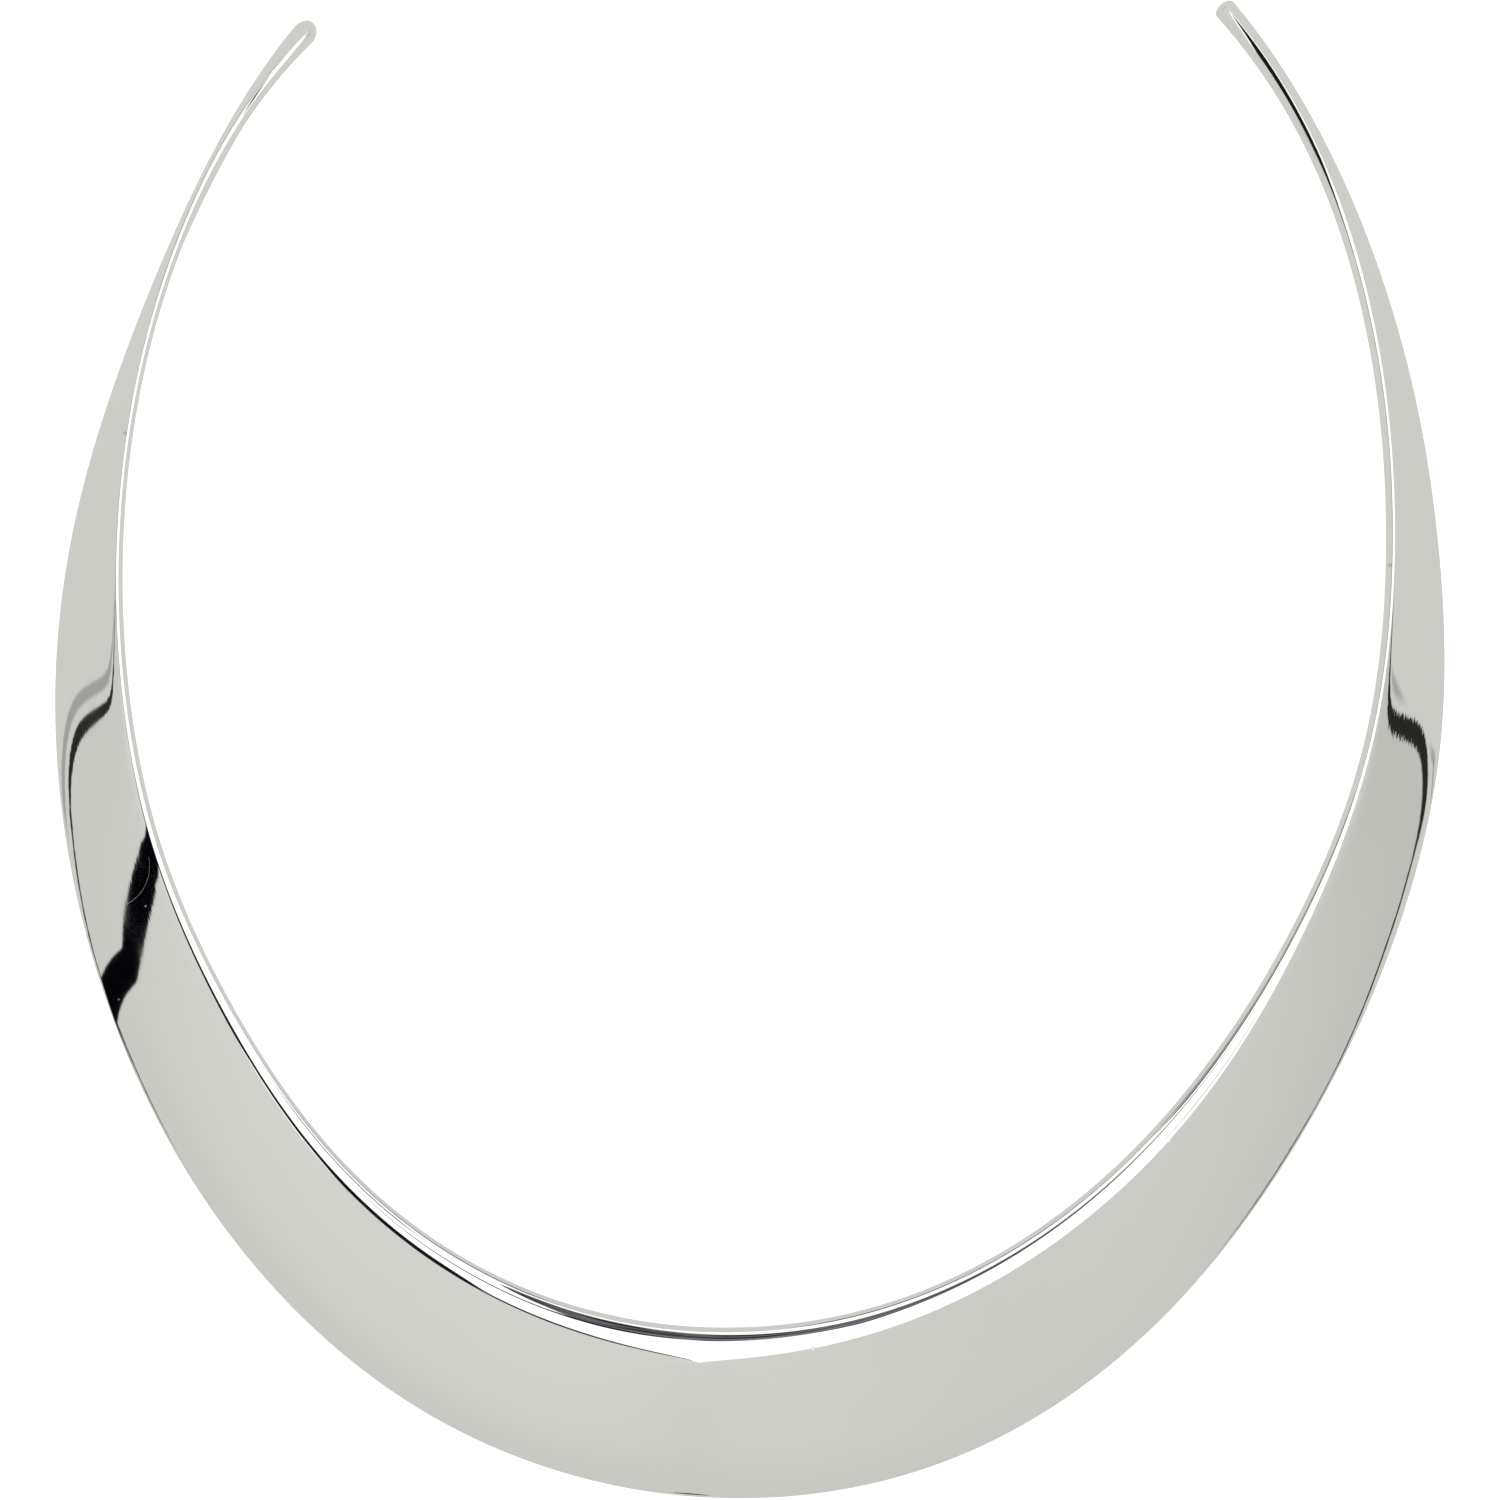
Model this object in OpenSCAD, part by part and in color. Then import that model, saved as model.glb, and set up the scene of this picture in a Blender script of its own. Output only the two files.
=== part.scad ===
// Collar choker: one rigid, open collar of polished silver, in one solid.
// A single outline is carried round the neck from tip to tip. On the way it changes from
// the broad sloping face at the front to a thin upright arm, and ends in a rounded tip.
//
// Frame: millimetres, +Z up, the broad front towards -Y, the gap at the back towards +Y.
// The collar lies on its lower rim at Z = 0, with the origin under the middle of its box.
//
// How it is measured: "sweep" is the angle round the neck, 0 at the middle of the front and
// growing towards each tip. "Tilt" is the lean of a surface: 0 faces up, 90 faces outwards.

/* [Reach] */
// Sweep of the left tip, in degrees
left_reach = 144.2; // [130:0.1:150]
// Sweep of the right tip, which is a little longer on the real piece
right_reach = 149.3; // [130:0.1:152]
// Length of the rounded end of the left tip
left_round = 1.6; // [0.6:0.1:3]
// Length of the rounded end of the right tip, which is squarer
right_round = 0.6; // [0.6:0.1:3]

/* [Face] */
// Extra width of the flat on top of the inner rim at the very front, where it is pointed
front_peak = 1.2; // [0:0.1:2]
// Sweep over which that point fades, in degrees
peak_fade = 6; // [3:0.5:12]
// How late and sharply the face rolls over towards its outer rim
shoulder_power = 3; // [2:1:6]
// How much the face flattens off at its inner edge, in degrees
edge_ease = 8; // [0:1:12]

/* [Fineness] */
// Cross-sections in each arm
arm_stations = 76; // [30:1:85]
// Pieces across the face
face_pieces = 8; // [3:1:10]
// Pieces in each rounded rim
rim_pieces = 5; // [3:1:7]

/* [Hidden] */

// One row for every 18 degrees of sweep, the first at the middle of the front. A smooth
// curve runs close by the rows. The two arms of the real piece differ a little.
RADIUS = 0;      // inner radius of the neck opening
WIDTH = 1;       // width of the face
SLOPE = 2;       // tilt of the face, halfway across it
TURN = 3;        // half the turn of the gently crowned face; below 0 where it is hollow
SHOULDER = 4;    // extra turn of the face at its outer rim
LAND = 5;        // width of the narrow flat on top of the inner rim
TILT = 6;        // tilt of that flat, below 0 where it faces the neck, as at the tips
LEAN = 7;        // lean of the straight inner wall away from upright
row_step = 18;
left_arm = [
    [60.6, 18.8, 36,   1,   5.5, 0.2,  0,   0],
    [60.4, 17.8, 37,   1,   5.5, 0.2,  0,   4],
    [58.8, 15.3, 37,   1.5, 5.5, 0.2,  0,   6],
    [56.6, 14.2, 38,   1.5, 6.5, 0.1,  0,   10],
    [57.4, 11,   39,   1.5, 3.5, 0.05, 0,   18],
    [59,   9.2,  44,   0.2, 2.5, 0.05, 0,   14],
    [62.9, 8.8,  65.5, 1.5, 4,   0.05, 0,   4],
    [69.6, 7.2,  86,   1.5, 3,   0.05, -20, 1],
    [77.2, 5.2,  79,   1.5, 3,   0.4,  -40, 8],
    [78.4, 3.8,  20,   1.5, 3,   0.8,  -60, 40],
];
right_arm = [
    [60.6, 18.8, 36,   1,    5.5, 0.2,  0,   0],
    [59.8, 19.8, 37,   1,    5.5, 0.2,  0,   8],
    [58.2, 16.9, 37,   1.5,  5.5, 0.2,  0,   20],
    [56.9, 13.2, 38,   1.5,  6.5, 0.6,  0,   18],
    [57.3, 11.8, 39,   1,    4,   0.15, 0,   20],
    [60.5, 9.3,  41,   -0.4, 4.2, 0.05, 0,   18],
    [63.9, 8.1,  56,   0.8,  4,   0.05, 0,   12],
    [70.8, 7.4,  70.5, 1.5,  3,   0.05, -20, 5],
    [79.6, 5.4,  82,   1.5,  3,   0.4,  -30, 10],
    [84.8, 3.6,  64,   1.5,  3,   0.8,  -60, 40],
];

// The rims, the same on both arms, in rows of the same step.
RIM = 0;         // rounding of the inner rim
WALL = 1;        // height of the straight inner wall
ARRIS = 2;       // rounding of the edge between flat and face
LATE = 3;        // how late and sharply the face flattens off; 2 is early and soft
OUTER = 4;       // rounding of the outer rim
FOOT = 5;        // rounding under the inner wall
rims = [
    [1.5,  0.1, 0.8,  20, 0.6, 0.9],
    [1.1,  0.3, 0.7,  20, 0.6, 0.8],
    [0.8,  0.5, 0.5,  20, 0.6, 0.6],
    [0.6,  0.7, 0.4,  20, 0.6, 0.5],
    [0.35, 0.9, 0.2,  20, 0.6, 0.5],
    [0.2,  1,   0.15, 2,  0.6, 0.5],
    [0.2,  1.8, 0.15, 20, 0.6, 0.5],
    [0.2,  3.2, 0.15, 20, 0.6, 0.6],
    [0.2,  1.8, 0.1,  20, 0.8, 0.8],
    [0.2,  1,   0.05, 20, 1.1, 1.1],
];

// Weights of four neighbouring rows, f of the way from the second to the third.
function weights(f) = [
    pow(1 - f, 3) / 6,
    (3 * pow(f, 3) - 6 * pow(f, 2) + 4) / 6,
    (-3 * pow(f, 3) + 3 * pow(f, 2) + 3 * f + 1) / 6,
    pow(f, 3) / 6
];

// A row by its number. Numbers below zero belong to the other arm.
function row(near, far, k) = k < 0 ? far[-k] : near[min(k, len(near) - 1)];
function between(near, far, a) =
    let (s = abs(a) / row_step, i = floor(s), w = weights(s - i))
    w[0] * row(near, far, i - 1) + w[1] * row(near, far, i)
    + w[2] * row(near, far, i + 1) + w[3] * row(near, far, i + 2);
function arm_at(a) = a < 0 ? between(left_arm, right_arm, a) : between(right_arm, left_arm, a);
function rims_at(a) = between(rims, rims, a);

// The point of the flat at the very front. It takes its width out of the face, which
// stands a little steeper there, so that the outer rim runs on smoothly.
function peak(a) = front_peak * exp(-abs(a) / peak_fade);
peak_change = [0, -0.75, 2.1, 0, 0, 1, 0, 0];    // for each mm of the point, in the arm's columns

// Directions in the plane of a cross-section: x outwards from the neck, y upwards.
function facing(tilt) = [sin(tilt), cos(tilt)];
function along(tilt) = [cos(tilt), -sin(tilt)];
function arc(centre, radius, from, to, pieces) =
    [for (k = [0:pieces]) centre + radius * facing(from + (to - from) * k / pieces)];

// The face, with q from -1 at its inner edge to 1 at its outer edge: a gentle crown, a
// shoulder that rolls over towards the outer rim, and a short flatter stretch at the inner
// edge, which a polishing wheel leaves there.
function bend(q, amount, power) = amount * pow(max(q, 0), power + 1) / (power + 1);
function fall(q, arm, r) =
    (arm[TURN] * q * q / 2 + bend(q, arm[SHOULDER], shoulder_power) + bend(-q, edge_ease, r[LATE]))
    * PI / 180;
function face_point(q, start, arm, r) =
    start + arm[WIDTH] / 2 * (q + 1) * along(arm[SLOPE])
    + arm[WIDTH] / 2 * (fall(-1, arm, r) - fall(q, arm, r)) * facing(arm[SLOPE]);

// The outline of one cross-section: inner rim, flat, face, outer rim, back and foot.
function outline(arm, r) =
    let (
        wall = arm[LEAN] - 90,
        edge = (r[RIM] - r[ARRIS]) * facing(arm[TILT]) + arm[LAND] * along(arm[TILT]),
        first = arm[SLOPE] - arm[TURN] - edge_ease,
        start = edge + r[ARRIS] * facing(first),
        roll = arm[SLOPE] + arm[TURN] + arm[SHOULDER],
        outer = face_point(1, start, arm, r) - r[OUTER] * facing(roll),
        foot = (r[RIM] - r[FOOT]) * facing(wall) - r[WALL] * along(wall),
        run = foot - outer,
        back = (atan2(-run[1], run[0]) - asin((r[FOOT] - r[OUTER]) / norm(run)) + 360) % 360
    )
    concat(
        arc([0, 0], r[RIM], wall, arm[TILT], rim_pieces),
        arc(edge, r[ARRIS], arm[TILT], first, 2),
        [for (k = [1:face_pieces - 1])
            face_point(-cos(180 * k / face_pieces), start, arm, r)],
        arc(outer, r[OUTER], roll, back, rim_pieces),
        arc(foot, r[FOOT], back, 360 + wall, 3)
    );

function least(v, c) = min([for (p = v) p[c]]);
function most(v, c) = max([for (p = v) p[c]]);

// The rounded end of a tip: there the outline shrinks about its middle as a quarter circle.
tip_radius = 80;
function degrees_of(length) = length / tip_radius * 180 / PI;
function gap_to_end(a) = a < 0 ? (a + left_reach) / degrees_of(left_round)
                               : (right_reach - a) / degrees_of(right_round);
function end_share(a) = gap_to_end(a) >= 1 ? 1 : sqrt(1 - pow(1 - gap_to_end(a), 2));

// The inner edge of the neck opening, and the level direction straight out from it.
function inner_edge(a) = arm_at(a)[RADIUS] * [sin(a), -cos(a)];
function outwards(a) =
    let (t = inner_edge(a + 0.5) - inner_edge(a - 0.5)) [t[1], -t[0]] / norm(t);

// One cross-section set in place, with its lowest point on the surface below.
function station(a) =
    let (
        flat = outline(arm_at(a) + peak(a) * peak_change, rims_at(a)),
        inner = least(flat, 0),
        low = least(flat, 1),
        middle = [(inner + most(flat, 0)) / 2, (low + most(flat, 1)) / 2],
        share = end_share(a),
        place = inner_edge(a),
        out = outwards(a)
    )
    [for (p = flat)
        let (s = middle + share * (p - middle), xy = place + (s[0] - inner) * out)
        [xy[0], xy[1], s[1] - low]];

// Sweeps of the stations from tip to tip: even along each arm, closer in the rounded ends.
end_steps = [0.05, 0.2, 0.45, 0.8];
last_step = len(end_steps) - 1;
sweeps = concat(
    [for (k = [0:last_step]) -left_reach + end_steps[k] * degrees_of(left_round)],
    [for (k = [1:arm_stations]) -left_reach * (1 - k / arm_stations)],
    [for (k = [1:arm_stations - 1]) right_reach * k / arm_stations],
    [for (k = [last_step:-1:0]) right_reach - end_steps[k] * degrees_of(right_round)]
);

points = [for (a = sweeps) each station(a)];
count = len(sweeps);
size = len(points) / count;
centre = [(least(points, 0) + most(points, 0)) / 2, (least(points, 1) + most(points, 1)) / 2, 0];

// The number of corner k of cross-section i.
function corner(i, k) = i * size + k % size;
skin = [
    for (i = [0:count - 2], k = [0:size - 1]) each [
        [corner(i, k), corner(i + 1, k), corner(i + 1, k + 1)],
        [corner(i, k), corner(i + 1, k + 1), corner(i, k + 1)]
    ]
];
ends = [
    [for (k = [0:size - 1]) corner(0, k)],
    [for (k = [size - 1:-1:0]) corner(count - 1, k)]
];

module collar() {
    color([0.85, 0.85, 0.84])
        translate(-centre)
            polyhedron(points = points, faces = concat(skin, ends), convexity = 6);
}

collar();
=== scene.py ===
# %% [markdown]
# # A rigid open collar in polished silver
# The real object is one springy band of solid silver that goes round the neck
# and is open at the back. It is wide and nearly flat at the front, narrows
# along both arms, and ends in two slim rounded tips. It could be modelled as a
# curve with a profile, but no single profile fits: the face leans at the front
# and stands almost upright near the tips. So it is built ring by ring, and
# each ring takes the outline that the metal has at that place. The lesson
# starts with the measured part, which gives the size and the frame.

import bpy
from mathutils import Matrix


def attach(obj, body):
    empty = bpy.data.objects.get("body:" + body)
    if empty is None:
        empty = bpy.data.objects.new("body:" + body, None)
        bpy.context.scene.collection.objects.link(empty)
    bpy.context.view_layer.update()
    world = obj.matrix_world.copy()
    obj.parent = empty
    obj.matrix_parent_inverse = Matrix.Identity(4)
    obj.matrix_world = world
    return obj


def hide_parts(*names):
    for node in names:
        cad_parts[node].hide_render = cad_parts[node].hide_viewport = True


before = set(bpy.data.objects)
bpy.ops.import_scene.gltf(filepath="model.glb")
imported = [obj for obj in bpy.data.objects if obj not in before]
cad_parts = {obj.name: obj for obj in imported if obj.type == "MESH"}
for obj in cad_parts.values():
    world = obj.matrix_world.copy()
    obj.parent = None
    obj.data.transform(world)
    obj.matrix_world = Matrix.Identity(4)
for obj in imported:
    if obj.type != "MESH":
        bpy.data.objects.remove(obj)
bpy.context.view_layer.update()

# %% Tools and units
import math

import bmesh
import bpy
from mathutils import Vector

MM = 0.001                   # the drawing is in millimetres, Blender in metres

# %% [markdown]
# ## The lines of the collar
# Whoever makes such a collar works from a few sections: how far out the inner
# edge is, how wide the face is and how much it leans. The tables give them
# every 18 degrees round the neck, from the middle of the front to each tip,
# and a B-spline blends them, because a polished face shows the smallest kink.
# The two arms have tables of their own, since a hand-finished band is never
# quite the same on both sides.

# %% The sections
ROW_STEP = 18                # degrees from one row to the next
# inner edge from the neck's middle, width of the face, lean of the face, bow
# of the face, drop of its shoulder, width and tilt of the flat on the inner
# rim, lean of the inner wall
LEFT_ARM = [
    (60.6, 18.8, 36, 1, 5.5, 0.2, 0, 0), (60.4, 17.8, 37, 1, 5.5, 0.2, 0, 4),
    (58.8, 15.3, 37, 1.5, 5.5, 0.2, 0, 6),
    (56.6, 14.2, 38, 1.5, 6.5, 0.1, 0, 10),
    (57.4, 11, 39, 1.5, 3.5, 0.05, 0, 18),
    (59, 9.2, 44, 0.2, 2.5, 0.05, 0, 14),
    (62.9, 8.8, 65.5, 1.5, 4, 0.05, 0, 4),
    (69.6, 7.2, 86, 1.5, 3, 0.05, -20, 1),
    (77.2, 5.2, 79, 1.5, 3, 0.4, -40, 8),
    (78.4, 3.8, 20, 1.5, 3, 0.8, -60, 40)]
RIGHT_ARM = [
    (60.6, 18.8, 36, 1, 5.5, 0.2, 0, 0), (59.8, 19.8, 37, 1, 5.5, 0.2, 0, 8),
    (58.2, 16.9, 37, 1.5, 5.5, 0.2, 0, 20),
    (56.9, 13.2, 38, 1.5, 6.5, 0.6, 0, 18),
    (57.3, 11.8, 39, 1, 4, 0.15, 0, 20),
    (60.5, 9.3, 41, -0.4, 4.2, 0.05, 0, 18),
    (63.9, 8.1, 56, 0.8, 4, 0.05, 0, 12),
    (70.8, 7.4, 70.5, 1.5, 3, 0.05, -20, 5),
    (79.6, 5.4, 82, 1.5, 3, 0.4, -30, 10),
    (84.8, 3.6, 64, 1.5, 3, 0.8, -60, 40)]
# radius of the inner rim, height of the inner wall, radius of the ridge, how
# late the face flattens off at its inner edge, radius of the outer edge,
# radius of the foot
RIMS = [
    (1.5, 0.1, 0.8, 20, 0.6, 0.9), (1.1, 0.3, 0.7, 20, 0.6, 0.8),
    (0.8, 0.5, 0.5, 20, 0.6, 0.6), (0.6, 0.7, 0.4, 20, 0.6, 0.5),
    (0.35, 0.9, 0.2, 20, 0.6, 0.5), (0.2, 1, 0.15, 2, 0.6, 0.5),
    (0.2, 1.8, 0.15, 20, 0.6, 0.5), (0.2, 3.2, 0.15, 20, 0.6, 0.6),
    (0.2, 1.8, 0.1, 20, 0.8, 0.8), (0.2, 1, 0.05, 20, 1.1, 1.1)]
LEFT_REACH, RIGHT_REACH = 144.2, 149.3     # sweep of each arm, degrees
LEFT_ROUND, RIGHT_ROUND = 1.6, 0.6         # length of each rounded tip, mm
FRONT_PEAK, PEAK_FADE = 1.2, 6             # extra width of the flat at the front
# for each mm of it: change in the face's width and lean, and in the flat
PEAK_WIDTH, PEAK_LEAN, PEAK_FLAT = -0.75, 2.1, 1
SHOULDER_POWER = 3           # how late the shoulder sets in
EDGE_EASE = 8                # how much the face flattens off, degrees
TIP_RADIUS = 80              # radius that turns a tip's length into degrees


def blend_weights(f):
    """Cubic B-spline weights of four neighbouring rows."""
    return ((1 - f) ** 3 / 6, (3 * f ** 3 - 6 * f ** 2 + 4) / 6,
            (-3 * f ** 3 + 3 * f ** 2 + 3 * f + 1) / 6, f ** 3 / 6)


def between(near, far, sweep):
    """Blend a table's rows at a sweep; the rows carry on into the other arm."""
    first, part = divmod(abs(sweep) / ROW_STEP, 1)
    rows = []
    for k in range(int(first) - 1, int(first) + 3):
        rows.append(far[-k] if k < 0 else near[min(k, len(near) - 1)])
    return [sum(w * row[i] for w, row in zip(blend_weights(part), rows))
            for i in range(len(near[0]))]


def section(sweep):
    """The arm's row at a sweep: where the inner edge is, and the face."""
    near, far = (LEFT_ARM, RIGHT_ARM) if sweep < 0 else (RIGHT_ARM, LEFT_ARM)
    return between(near, far, sweep)


print("at the front:", [round(v, 2) for v in section(0)])

# %% [markdown]
# ## One outline
# Seen end on, the metal is a slim slanted bar: a straight inner wall, a small
# rolled rim, a short flat, a soft ridge, the long bowed face, and a thin outer
# edge that the collar lies on. Every stretch is an arc or a line, and each
# starts where the last one ends, in the same direction, so the polish runs
# over all of them without a break. Points crowd towards the ends of the face,
# because that is where the reflection changes fastest.

# %% Points of an outline
WALL_POINTS, RIM_POINTS, RIDGE_POINTS = 3, 13, 10
FACE_POINTS, EDGE_POINTS, BACK_POINTS, FOOT_POINTS = 21, 9, 4, 8


def facing(degrees):
    """Direction that a surface looks in, tilted outward from straight up."""
    return Vector((math.sin(math.radians(degrees)),
                   math.cos(math.radians(degrees))))


def along(degrees):
    """Direction that runs down such a surface."""
    return Vector((math.cos(math.radians(degrees)),
                   -math.sin(math.radians(degrees))))


def arc(middle, radius, first, last, count):
    """Points on an arc, both ends included."""
    return [middle + radius * facing(first + (last - first) * k / (count - 1))
            for k in range(count)]


def line(start, end, count):
    """Points between two others, both left out."""
    return [start.lerp(end, (k + 1) / (count + 1)) for k in range(count)]


def outline(face_row, rim_row):
    """The closed outline, in mm, x away from the neck and y up."""
    width, slope, bow, shoulder, land, tilt, lean = face_row
    rim, wall_height, ridge, late, outer_radius, foot_radius = rim_row
    wall = lean - 90
    edge = (rim - ridge) * facing(tilt) + land * along(tilt)
    first = slope - bow - EDGE_EASE
    start = edge + ridge * facing(first)

    def bend(q, amount, power):
        return amount * max(q, 0) ** (power + 1) / (power + 1)

    def fall(q):
        return math.radians(bow * q * q / 2 + bend(q, shoulder, SHOULDER_POWER)
                            + bend(-q, EDGE_EASE, late))

    def face_point(q):
        return (start + width / 2 * (q + 1) * along(slope)
                + width / 2 * (fall(-1) - fall(q)) * facing(slope))

    roll = slope + bow + shoulder
    outer = face_point(1) - outer_radius * facing(roll)
    foot = (rim - foot_radius) * facing(wall) - wall_height * along(wall)
    run = foot - outer
    back = (math.degrees(math.atan2(-run.y, run.x))
            - math.degrees(math.asin((foot_radius - outer_radius) / run.length))
            + 360) % 360
    face = [face_point(-math.cos(math.pi * (k + 1) / (FACE_POINTS + 1)))
            for k in range(FACE_POINTS)]
    rolled_rim = arc(Vector((0, 0)), rim, wall, tilt, RIM_POINTS)
    outer_edge = arc(outer, outer_radius, roll, back, EDGE_POINTS)
    rolled_foot = arc(foot, foot_radius, back, 360 + wall, FOOT_POINTS)
    return (rolled_rim + arc(edge, ridge, tilt, first, RIDGE_POINTS) + face
            + outer_edge + line(outer_edge[-1], rolled_foot[0], BACK_POINTS)
            + rolled_foot + line(rolled_foot[-1], rolled_rim[0], WALL_POINTS))


front = outline(section(0)[1:], RIMS[0])
print("points in an outline:", len(front))

# %% [markdown]
# ## Where each outline stands
# The inner edge of the collar is an open oval, drawn by the radius in the
# tables. An outline stands square to it and is let down until it touches the
# table. Near a tip it shrinks towards its own middle, like the slices of a
# ball, and that rounds the tip.

# %% Place an outline on the oval


def inner_edge(sweep):
    """The point of the oval at a sweep; 0 is the middle of the front."""
    angle = math.radians(sweep)
    return section(sweep)[0] * Vector((math.sin(angle), -math.cos(angle)))


def tip_share(sweep):
    """How large the outline is, from 0 at a tip to 1 where the arm is full."""
    if sweep < 0:
        gap, length = sweep + LEFT_REACH, LEFT_ROUND
    else:
        gap, length = RIGHT_REACH - sweep, RIGHT_ROUND
    gap = min(1, gap / math.degrees(length / TIP_RADIUS))
    return math.sqrt(1 - (1 - gap) ** 2)


def station(sweep):
    """The outline's points in space, in mm, standing on the table."""
    peak = FRONT_PEAK * math.exp(-abs(sweep) / PEAK_FADE)
    face_row = section(sweep)[1:]
    face_row[0] += PEAK_WIDTH * peak
    face_row[1] += PEAK_LEAN * peak
    face_row[4] += PEAK_FLAT * peak
    points = outline(face_row, between(RIMS, RIMS, sweep))
    inner = min(p.x for p in points)
    low, high = min(p.y for p in points), max(p.y for p in points)
    middle = Vector(((inner + max(p.x for p in points)) / 2, (low + high) / 2))
    share = tip_share(sweep)
    tangent = inner_edge(sweep + 0.5) - inner_edge(sweep - 0.5)
    outward = Vector((tangent.y, -tangent.x)).normalized()
    placed = []
    for p in points:
        p = middle + share * (p - middle)
        flat = inner_edge(sweep) + (p.x - inner) * outward
        placed.append(Vector((flat.x, flat.y, p.y - low)))
    return placed


STATION_STEP = 0.75          # degrees between two rings along an arm
TIP_STEPS = 9                # rings over a rounded tip


def sweeps():
    """The sweeps of all rings, closer together where a tip is rounded."""
    left_tip = math.degrees(LEFT_ROUND / TIP_RADIUS)
    right_tip = math.degrees(RIGHT_ROUND / TIP_RADIUS)
    turn = [math.pi / 2 * (k + 1) / (TIP_STEPS + 1) for k in range(TIP_STEPS)]
    first, last = -LEFT_REACH + left_tip, RIGHT_REACH - right_tip
    left_count = round(-first / STATION_STEP)
    right_count = round(last / STATION_STEP)
    rings = [-LEFT_REACH + left_tip * (1 - math.cos(t)) for t in turn]
    rings += [first * (1 - k / left_count) for k in range(left_count)]
    rings += [last * k / right_count for k in range(right_count + 1)]
    rings += [RIGHT_REACH - right_tip * (1 - math.cos(t)) for t in reversed(turn)]
    return rings


rings = [station(sweep) for sweep in sweeps()]
lowest = [min(p[i] for ring in rings for p in ring) for i in range(3)]
highest = [max(p[i] for ring in rings for p in ring) for i in range(3)]
centre = Vector(((lowest[0] + highest[0]) / 2, (lowest[1] + highest[1]) / 2, 0))
print("rings:", len(rings), "height in mm:", round(highest[2], 2))

# %% [markdown]
# ## Extrude the band
# A circle of vertices is laid on the first outline. Its edges are extruded,
# the new ring is moved onto the next outline, and so on along both arms. The
# last step at each end pulls a ring together into one point, so the metal is
# closed all round.

# %% Rings of metal


def extrude_ring(bm, ring):
    """Extrude a closed ring of vertices and return the new ring, in order."""
    edges = [bm.edges.get((ring[k - 1], ring[k])) for k in range(len(ring))]
    made = bmesh.ops.extrude_edge_only(bm, edges=edges)["geom"]
    fresh = {v for v in made if isinstance(v, bmesh.types.BMVert)}
    return [next(e.other_vert(v) for e in v.link_edges
                 if e.other_vert(v) in fresh) for v in ring]


def lay(ring, points):
    """Move a ring's vertices onto an outline's points."""
    for vertex, point in zip(ring, points):
        vertex.co = (point - centre) * MM


def close_tip(bm, ring):
    """Extrude a ring and draw it together in its middle."""
    middle = sum((v.co for v in ring), Vector()) / len(ring)
    bmesh.ops.pointmerge(bm, verts=extrude_ring(bm, ring), merge_co=middle)


band = bmesh.new()
ring = bmesh.ops.create_circle(band, segments=len(rings[0]), radius=1)["verts"]
lay(ring, rings[0])
first_ring = ring
for points in rings[1:]:
    ring = extrude_ring(band, ring)
    lay(ring, points)
close_tip(band, ring)
close_tip(band, first_ring)
bmesh.ops.recalc_face_normals(band, faces=band.faces)
if band.calc_volume(signed=True) < 0:
    bmesh.ops.reverse_faces(band, faces=band.faces)
for face in band.faces:
    face.smooth = True
print("volume in cm3:", round(band.calc_volume() * 1e6, 2),
      "open edges:", sum(1 for e in band.edges if not e.is_manifold))

# %% Make it an object that stands for the measured part
mesh = bpy.data.meshes.new("silver_collar")
band.to_mesh(mesh)
band.free()
collar = bpy.data.objects.new("silver_collar", mesh)
bpy.context.scene.collection.objects.link(collar)
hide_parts("collar")
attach(collar, "root")
print("faces:", len(mesh.polygons))

# %% [markdown]
# ## Shader maths
# The finish and the studio are both written as sums and products of sockets.
# Adding Math nodes by hand is slow and hard to read, so a small class wraps a
# socket: a sum or product of wrapped sockets adds the node for it. Every other
# node comes from one function.

# %% A socket that can be added and multiplied


def add_node(tree, kind, settings=None, inputs=None, output=0):
    """Add a node: its settings first, then the values or links of its sockets."""
    node = tree.nodes.new(kind)
    node.location = (220 * (len(tree.nodes) // 8), -190 * (len(tree.nodes) % 8))
    for name, value in (settings or {}).items():
        setattr(node, name, value)
    for name, value in (inputs or {}).items():
        if isinstance(value, Value):
            tree.links.new(value.socket, node.inputs[name])
        else:
            node.inputs[name].default_value = value
    return Value(tree, node.outputs[output]) if node.outputs else node


def calculate(operation, *numbers):
    """A Math node on wrapped sockets and plain numbers."""
    tree = next(n.tree for n in numbers if isinstance(n, Value))
    return add_node(tree, "ShaderNodeMath", {"operation": operation},
                    dict(enumerate(numbers)))


class Value:
    """One output socket of a node, with the arithmetic of a number."""

    def __init__(self, tree, socket):
        self.tree, self.socket = tree, socket

    def __add__(self, other):
        return calculate("ADD", self, other)

    def __sub__(self, other):
        return calculate("SUBTRACT", self, other)

    def __rsub__(self, other):
        return calculate("SUBTRACT", other, self)

    def __mul__(self, other):
        return calculate("MULTIPLY", self, other)

    def __truediv__(self, other):
        return calculate("DIVIDE", self, other)

    def __rtruediv__(self, other):
        return calculate("DIVIDE", other, self)

    def __neg__(self):
        return calculate("MULTIPLY", self, -1)

    __radd__, __rmul__ = __add__, __mul__

    def step(self, low, high):
        """0 below low, 1 above high and smooth in between."""
        return add_node(self.tree, "ShaderNodeMapRange",
                        {"interpolation_type": "SMOOTHSTEP"},
                        {"Value": self, "From Min": low, "From Max": high})

    def within(self, low, high, soft):
        """1 between low and high and 0 outside, with soft edges."""
        return (self.step(low - soft, low + soft)
                * (1 - self.step(high - soft, high + soft)))

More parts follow.
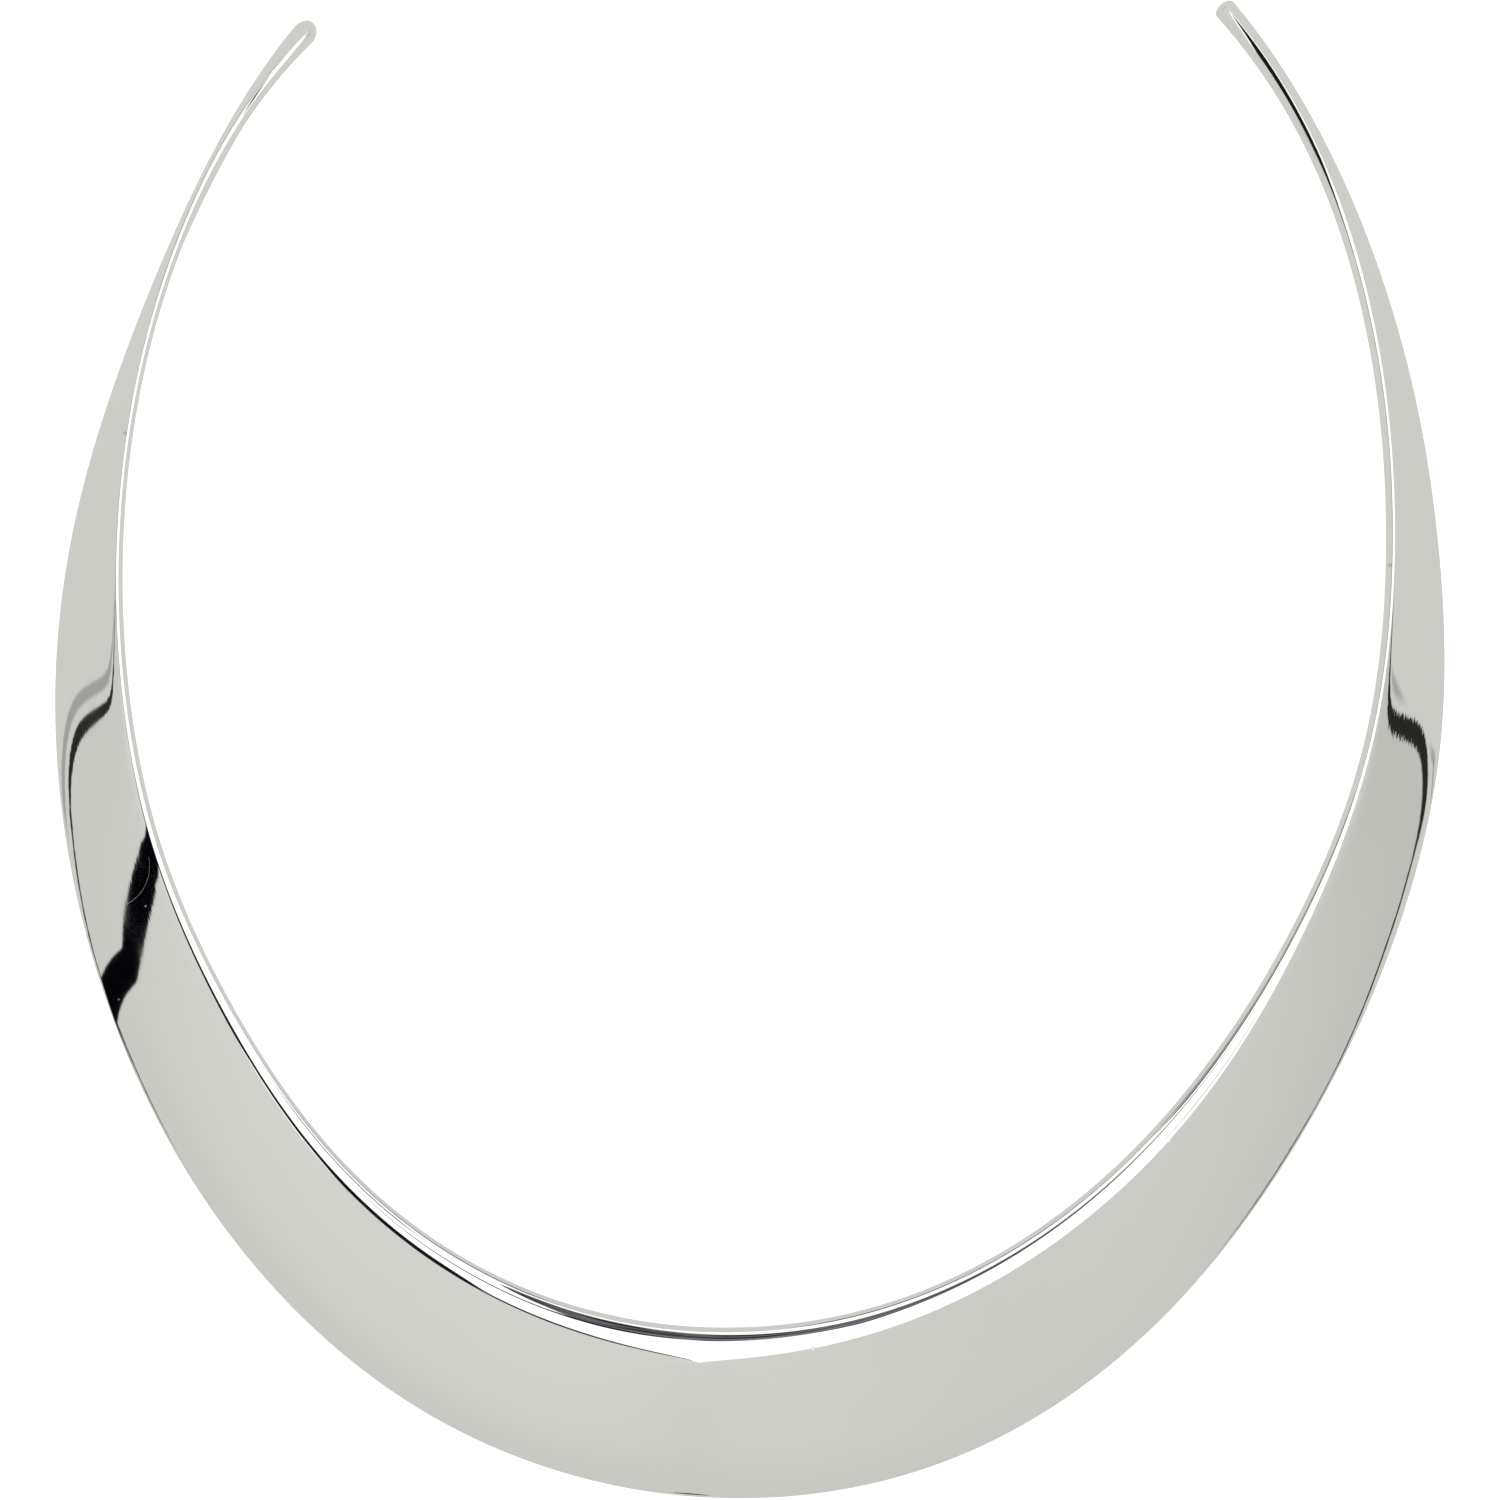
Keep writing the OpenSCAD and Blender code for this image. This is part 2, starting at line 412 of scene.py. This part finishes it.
# %% [markdown]
# ## Mirror-polished silver
# Sterling silver that comes off the polishing wheel is nearly a perfect mirror,
# very slightly warm in colour. What makes it look like metal is what polish and
# wear leave behind: fine drag lines along the band that fray the edges of every
# reflection, a few pits, one hairline scratch, two specks of dust, and a nick in
# the rim on each side. The shader is one metallic surface. The drag lines and
# pits are heights in metres that feed its bump, so each is as deep as a real
# one: the drag lines are a few ten-thousandths of a millimetre. A scratch and
# dust scatter light, so they feed the roughness. The nicks hold old polish and
# darken the colour.

# %% Where the metal is, for the finish
silver = bpy.data.materials.new("mirror_silver")
silver.use_nodes = True
metal = silver.node_tree
metal.nodes.clear()
place = add_node(metal, "ShaderNodeTexCoord", output="Object")


def part(value, axis):
    """One component of a vector."""
    return add_node(value.tree, "ShaderNodeSeparateXYZ", None, {0: value}, axis)


def vector(x, y, z):
    """A vector from three wrapped numbers."""
    return add_node(x.tree, "ShaderNodeCombineXYZ", None, {"X": x, "Y": y, "Z": z})


def noise(at, scale, detail=2.0):
    """Smooth noise around 0.5."""
    return add_node(at.tree, "ShaderNodeTexNoise", None,
                    {"Vector": at, "Scale": scale, "Detail": detail})


across, deep, up = part(place, 0), part(place, 1), part(place, 2)
turned = calculate("ARCTAN2", across, -deep)
from_middle = calculate("SQRT", across * across + deep * deep)
# metres along the band, out from the middle, and up
band_place = vector(turned * 0.065, from_middle, up)
print("finish placed on", collar.name)

# %% Drag lines and pits
DRAG_DEPTH, RUBBED_DEPTH = 2.8e-7, 9e-7      # metres
RIPPLE_DEPTH, PIT_DEPTH = 3e-7, 4e-6
drag_stretch = add_node(metal, "ShaderNodeVectorMath", {"operation": "MULTIPLY"},
                        {0: band_place, 1: (0.2, 1, 1)})


def spot(x, y, radius):
    """1 at a place on the plan, in mm, and 0 beyond its soft edge."""
    off_x = (across / MM + centre.x - x) / radius
    off_y = (deep / MM + centre.y - y) / radius
    return calculate("EXPONENT", -(off_x * off_x + off_y * off_y))


rubbed = spot(63.7, 1.8, 3)
drag = ((noise(drag_stretch, 4600, 1.0) - 0.5)
        * (DRAG_DEPTH + RUBBED_DEPTH * rubbed))
ripple = (noise(place, 700) - 0.5) * RIPPLE_DEPTH
pits = (spot(44.0, -39.6, 0.12) + spot(11.2, -61.7, 0.12) + spot(3.9, -70.8, 0.1)
        + spot(3.0, -75.8, 0.1) + spot(64.8, 8.9, 0.1))
height = drag + ripple - PIT_DEPTH * pits
print("drag lines, ripple and pits are in")

# %% A hairline scratch, dust and nicks
# the scratch is part of a circle: its radius, and its middle on the plan, in mm
SCRATCH_RADIUS, SCRATCH_X, SCRATCH_Y = 4.2, -59.9, -20
off_x, off_y = across / MM + centre.x - SCRATCH_X, deep / MM + centre.y - SCRATCH_Y
from_scratch = calculate("SQRT", off_x * off_x + off_y * off_y) - SCRATCH_RADIUS
scratch = (from_scratch.within(-0.02, 0.02, 0.015) * off_x.step(0.2, 1.2)
           * (off_x + off_y).step(-2.6, -1.4) * (1 - off_y.step(0.8, 1.4)))
dust = spot(-55.9, -23.7, 0.09) + spot(-58.2, -33.0, 0.08)
nicks = spot(61.8, 17.1, 0.17) + spot(-60.8, 21.7, 0.17)
print("one scratch, two specks of dust and two nicks")

# %% The silver itself
smear = noise(drag_stretch, 260, 3.0)
roughness = 0.022 + 0.02 * smear.step(0.45, 0.8) + 0.1 * scratch + 0.15 * dust
relief = add_node(metal, "ShaderNodeBump", None,
                  {"Height": height, "Distance": 1.0, "Strength": 1.0})
silver_colour = add_node(metal, "ShaderNodeMix", {"data_type": "RGBA"},
                         {0: smear, 6: (0.94, 0.935, 0.925, 1),
                          7: (0.925, 0.92, 0.91, 1)}, 2)
silver_colour = add_node(metal, "ShaderNodeMix", {"data_type": "RGBA"},
                         {0: 0.5 * nicks, 6: silver_colour, 7: (0.2, 0.17, 0.15, 1)}, 2)
surface = add_node(metal, "ShaderNodeBsdfPrincipled", None,
                   {"Base Color": silver_colour, "Metallic": 1.0,
                    "Roughness": roughness, "Normal": relief})
add_node(metal, "ShaderNodeOutputMaterial", None, {"Surface": surface})
mesh.materials.append(silver)
print("nodes in the silver:", len(metal.nodes))

# %% [markdown]
# ## The studio
# A mirror has no look of its own: it shows the room. Small polished pieces are
# photographed inside a white tent, and its walls, its open edges and the table
# make every tone on the metal. A few lamps would light the collar but leave the
# reflections empty, so the tent is written as the world around the scene. Each
# direction has a height above the table and a bearing round it, both in
# degrees, and the panels are drawn with those two numbers.

# %% Directions in the studio
world = bpy.data.worlds.new("light_tent")
world.use_nodes = True
bpy.context.scene.world = world
tent = world.node_tree
tent.nodes.clear()
looking = add_node(tent, "ShaderNodeTexCoord", output="Generated")
look_x, look_y, look_z = (part(looking, axis) for axis in range(3))
DEGREES = 180 / math.pi
high = calculate("ARCSINE", look_z) * DEGREES
bearing = calculate("ARCTAN2", look_x, -look_y) * DEGREES     # 0 is the front
behind = calculate("ARCTAN2", look_x, look_y) * DEGREES       # 0 is the back
side = calculate("ABSOLUTE", bearing)
on_left = (-bearing).step(-1, 1)


def tone(red, green, blue):
    """A colour as light, from its values on a screen."""
    light = [v / 255 / 12.92 if v < 10.3 else ((v / 255 + 0.055) / 1.055) ** 2.4
             for v in (red, green, blue)]
    return (*light, 1)


def paint(under, colour, share):
    """Lay a colour over another one, by a share from 0 to 1."""
    return add_node(share.tree, "ShaderNodeMix", {"data_type": "RGBA"},
                    {0: share, 6: under, 7: colour}, 2)


def inside(value, low, high, soft):
    """1 between two edges that may bend, and 0 outside."""
    return (value - low).step(-soft, soft) * (1 - (value - high).step(-soft, soft))


GLOWING = (1.15, 1.15, 1.15, 1)              # lit tent cloth
print("bearings run from -180 to 180, 0 is the front")

# %% Table, walls and ceiling of the tent
# the edge of the table is a little below the horizon, and lower in front
on_right = 1 - on_left
edge_on_left = -1.3 - 2.9 * (1 - side.step(67, 78))
edge_on_right = (-0.5 - 3.6 * (1 - side.step(64, 75)) - 1.9 * side.step(77, 84)
                 + 0.9 * side.step(96, 104))
above_table = high - (on_left * edge_on_left + on_right * edge_on_right)
upper_wall = paint(tone(210, 210, 206), tone(203, 203, 199), bearing.step(-8, 34))
lower_wall = paint(tone(200, 200, 196), tone(190, 190, 186), bearing.step(46, 80))
walls = paint(lower_wall, upper_wall, high.step(3, 16))
room = paint(tone(203, 203, 199), walls, above_table.step(-0.1, 0.1))
room = paint(room, GLOWING, (high - 2.3 * on_left).step(18.7, 19.7))
print("the ceiling starts 19 degrees up, and 21 on the left")

# %% Open edges above the table
# a dark gap runs round the tent where its walls meet the table
edge_half = (0.4 + (0.42 * on_left + 0.7 * on_right) * side.step(79, 84)
             + 1.9 * side.step(96, 110) + 3 * side.step(124, 134))
edge = inside(above_table, -edge_half, edge_half, 0.12) * (1 - side.step(163, 169))
room = paint(room, tone(38, 37, 34), edge)
second_edge = (above_table.within(-3.6, -2, 0.3) * (-bearing).step(76, 80)
               * (1 - (-bearing).step(96, 104)))
room = paint(room, tone(158, 158, 156), second_edge)
table_seam = (above_table.within(-4.2, -3.6, 0.2) * bearing.step(70, 76)
              * (1 - bearing.step(86.5, 87)))
room = paint(room, tone(150, 137, 126), table_seam)
smudge = high.within(-7.2, -4.8, 0.8) * bearing.within(86.4, 87.4, 0.4)
room = paint(room, tone(150, 148, 146), 0.8 * smudge)
print("table edge drawn")

# %% The slot in the left wall
# the black slot leans, and has a step in it
slot_from = -68.3 - 0.125 * (high + 4.3) - 4.6 * high.step(6.5, 8.6)
slot_to = -65.2 - 0.17 * (high + 4.7) - 4.3 * high.step(7.3, 10.5)
slot = inside(bearing, slot_from, slot_to, 0.1) * high.within(-26, 24, 0.8)
room = paint(room, tone(4, 4, 8), slot)
print("the slot is 2 to 6 degrees wide")

# %% Panels under the ceiling and behind
# dark panels hang under the ceiling, a lit strip stands behind, and a grey
# post on the left
panel_foot = 21.5 + 1.8 * bearing.within(-60, -48, 2)
panel_top = 46 - 21 * bearing.step(-38, -28) - 2 * bearing.step(-18, -6)
left_panel = ((high - panel_foot).step(-0.5, 0.5) * (1 - (high - panel_top).step(-1, 1))
              * bearing.within(-138, -6, 2))
right_panel = high.within(30, 44, 0.5) * bearing.within(62, 70, 2)
back_panel = high.within(30, 42, 1) * behind.within(25, 47, 3)
back_strip = high.within(4, 16, 1) * (1 - calculate("ABSOLUTE", behind).step(70, 90))
room = paint(room, GLOWING, back_strip)
for panel in (left_panel, right_panel, back_panel):
    room = paint(room, tone(22, 22, 28), panel)
left_post = bearing.within(-134, -108, 3) * high.within(-12, 12, 4)
room = paint(room, tone(70, 64, 58), left_post)
print("three dark panels, one post and one lit strip")

# %% The lens overhead
# the camera's dark lens hangs behind the middle, as a slanted oval
bulge = 1 - (behind + 6) * (behind + 6) / 23 ** 2
lens_middle = 48 - behind * (1 + 0.012 * behind)
lens_half = 27 * calculate("SQRT", calculate("MAXIMUM", bulge, 0))
lens = (inside(high, lens_middle - lens_half, lens_middle + lens_half, 1)
        * bulge.step(0.01, 0.04))
glare = noise(looking, 9).step(0.45, 0.62)
lens_glass = paint(tone(34, 34, 40), tone(118, 118, 124), glare)
room = paint(room, lens_glass, lens)
print("nodes in the tent:", len(tent.nodes))

# %% Hang the tent
BACKDROP = (0.93, 0.93, 0.93, 1)             # what the camera itself sees of it
to_eye = add_node(tent, "ShaderNodeLightPath", output="Is Camera Ray")
room = paint(room, BACKDROP, to_eye)
light = add_node(tent, "ShaderNodeBackground", None, {"Color": room, "Strength": 1.08})
add_node(tent, "ShaderNodeOutputWorld", None, {"Surface": light})
print("world:", world.name)

# %% [markdown]
# ## The floor
# The collar lies on a plain white sheet. In the mirror of the silver the sheet
# is the tent's grey table, so the metal looks past the sheet at the world.

# %% A plain white sheet
sheet = bmesh.new()
bmesh.ops.create_grid(sheet, x_segments=1, y_segments=1, size=3)
floor_mesh = bpy.data.meshes.new("white_sheet")
sheet.to_mesh(floor_mesh)
sheet.free()
floor = bpy.data.objects.new("white_sheet", floor_mesh)
bpy.context.scene.collection.objects.link(floor)
paper = bpy.data.materials.new("matt_white")
paper.use_nodes = True
paper_tree = paper.node_tree
paper_tree.nodes.clear()
matt = add_node(paper_tree, "ShaderNodeBsdfPrincipled", None,
                {"Base Color": (0.9, 0.9, 0.9, 1), "Roughness": 1.0,
                 "Specular IOR Level": 0.0, "Emission Color": (1, 1, 1, 1),
                 "Emission Strength": 0.6})
add_node(paper_tree, "ShaderNodeOutputMaterial", None, {"Surface": matt})
floor_mesh.materials.append(paper)
floor.visible_glossy = False
print("sheet 6 m wide")

# %% [markdown]
# ## The camera
# The photograph looks straight down from far away, turned a little, so the
# upright arms show only as thin bands.

# %% Straight down
VIEW_WIDTH, VIEW_HEIGHT = 0.14595, 0.9       # metres
UNDER_CAMERA = Vector((1.342, -4.787, 0))    # a point of the plan, in mm
CAMERA_TURN = 3.8                            # degrees
camera = bpy.data.objects.new("camera", bpy.data.cameras.new("camera"))
camera.data.lens = camera.data.sensor_width * VIEW_HEIGHT / VIEW_WIDTH
camera.location = (UNDER_CAMERA - centre) * MM + Vector((0, 0, VIEW_HEIGHT))
camera.rotation_euler = (0, 0, math.radians(CAMERA_TURN))
bpy.context.scene.collection.objects.link(camera)
bpy.context.scene.camera = camera
bpy.context.scene.view_settings.view_transform = "Standard"
print("lens in mm:", round(camera.data.lens, 1))
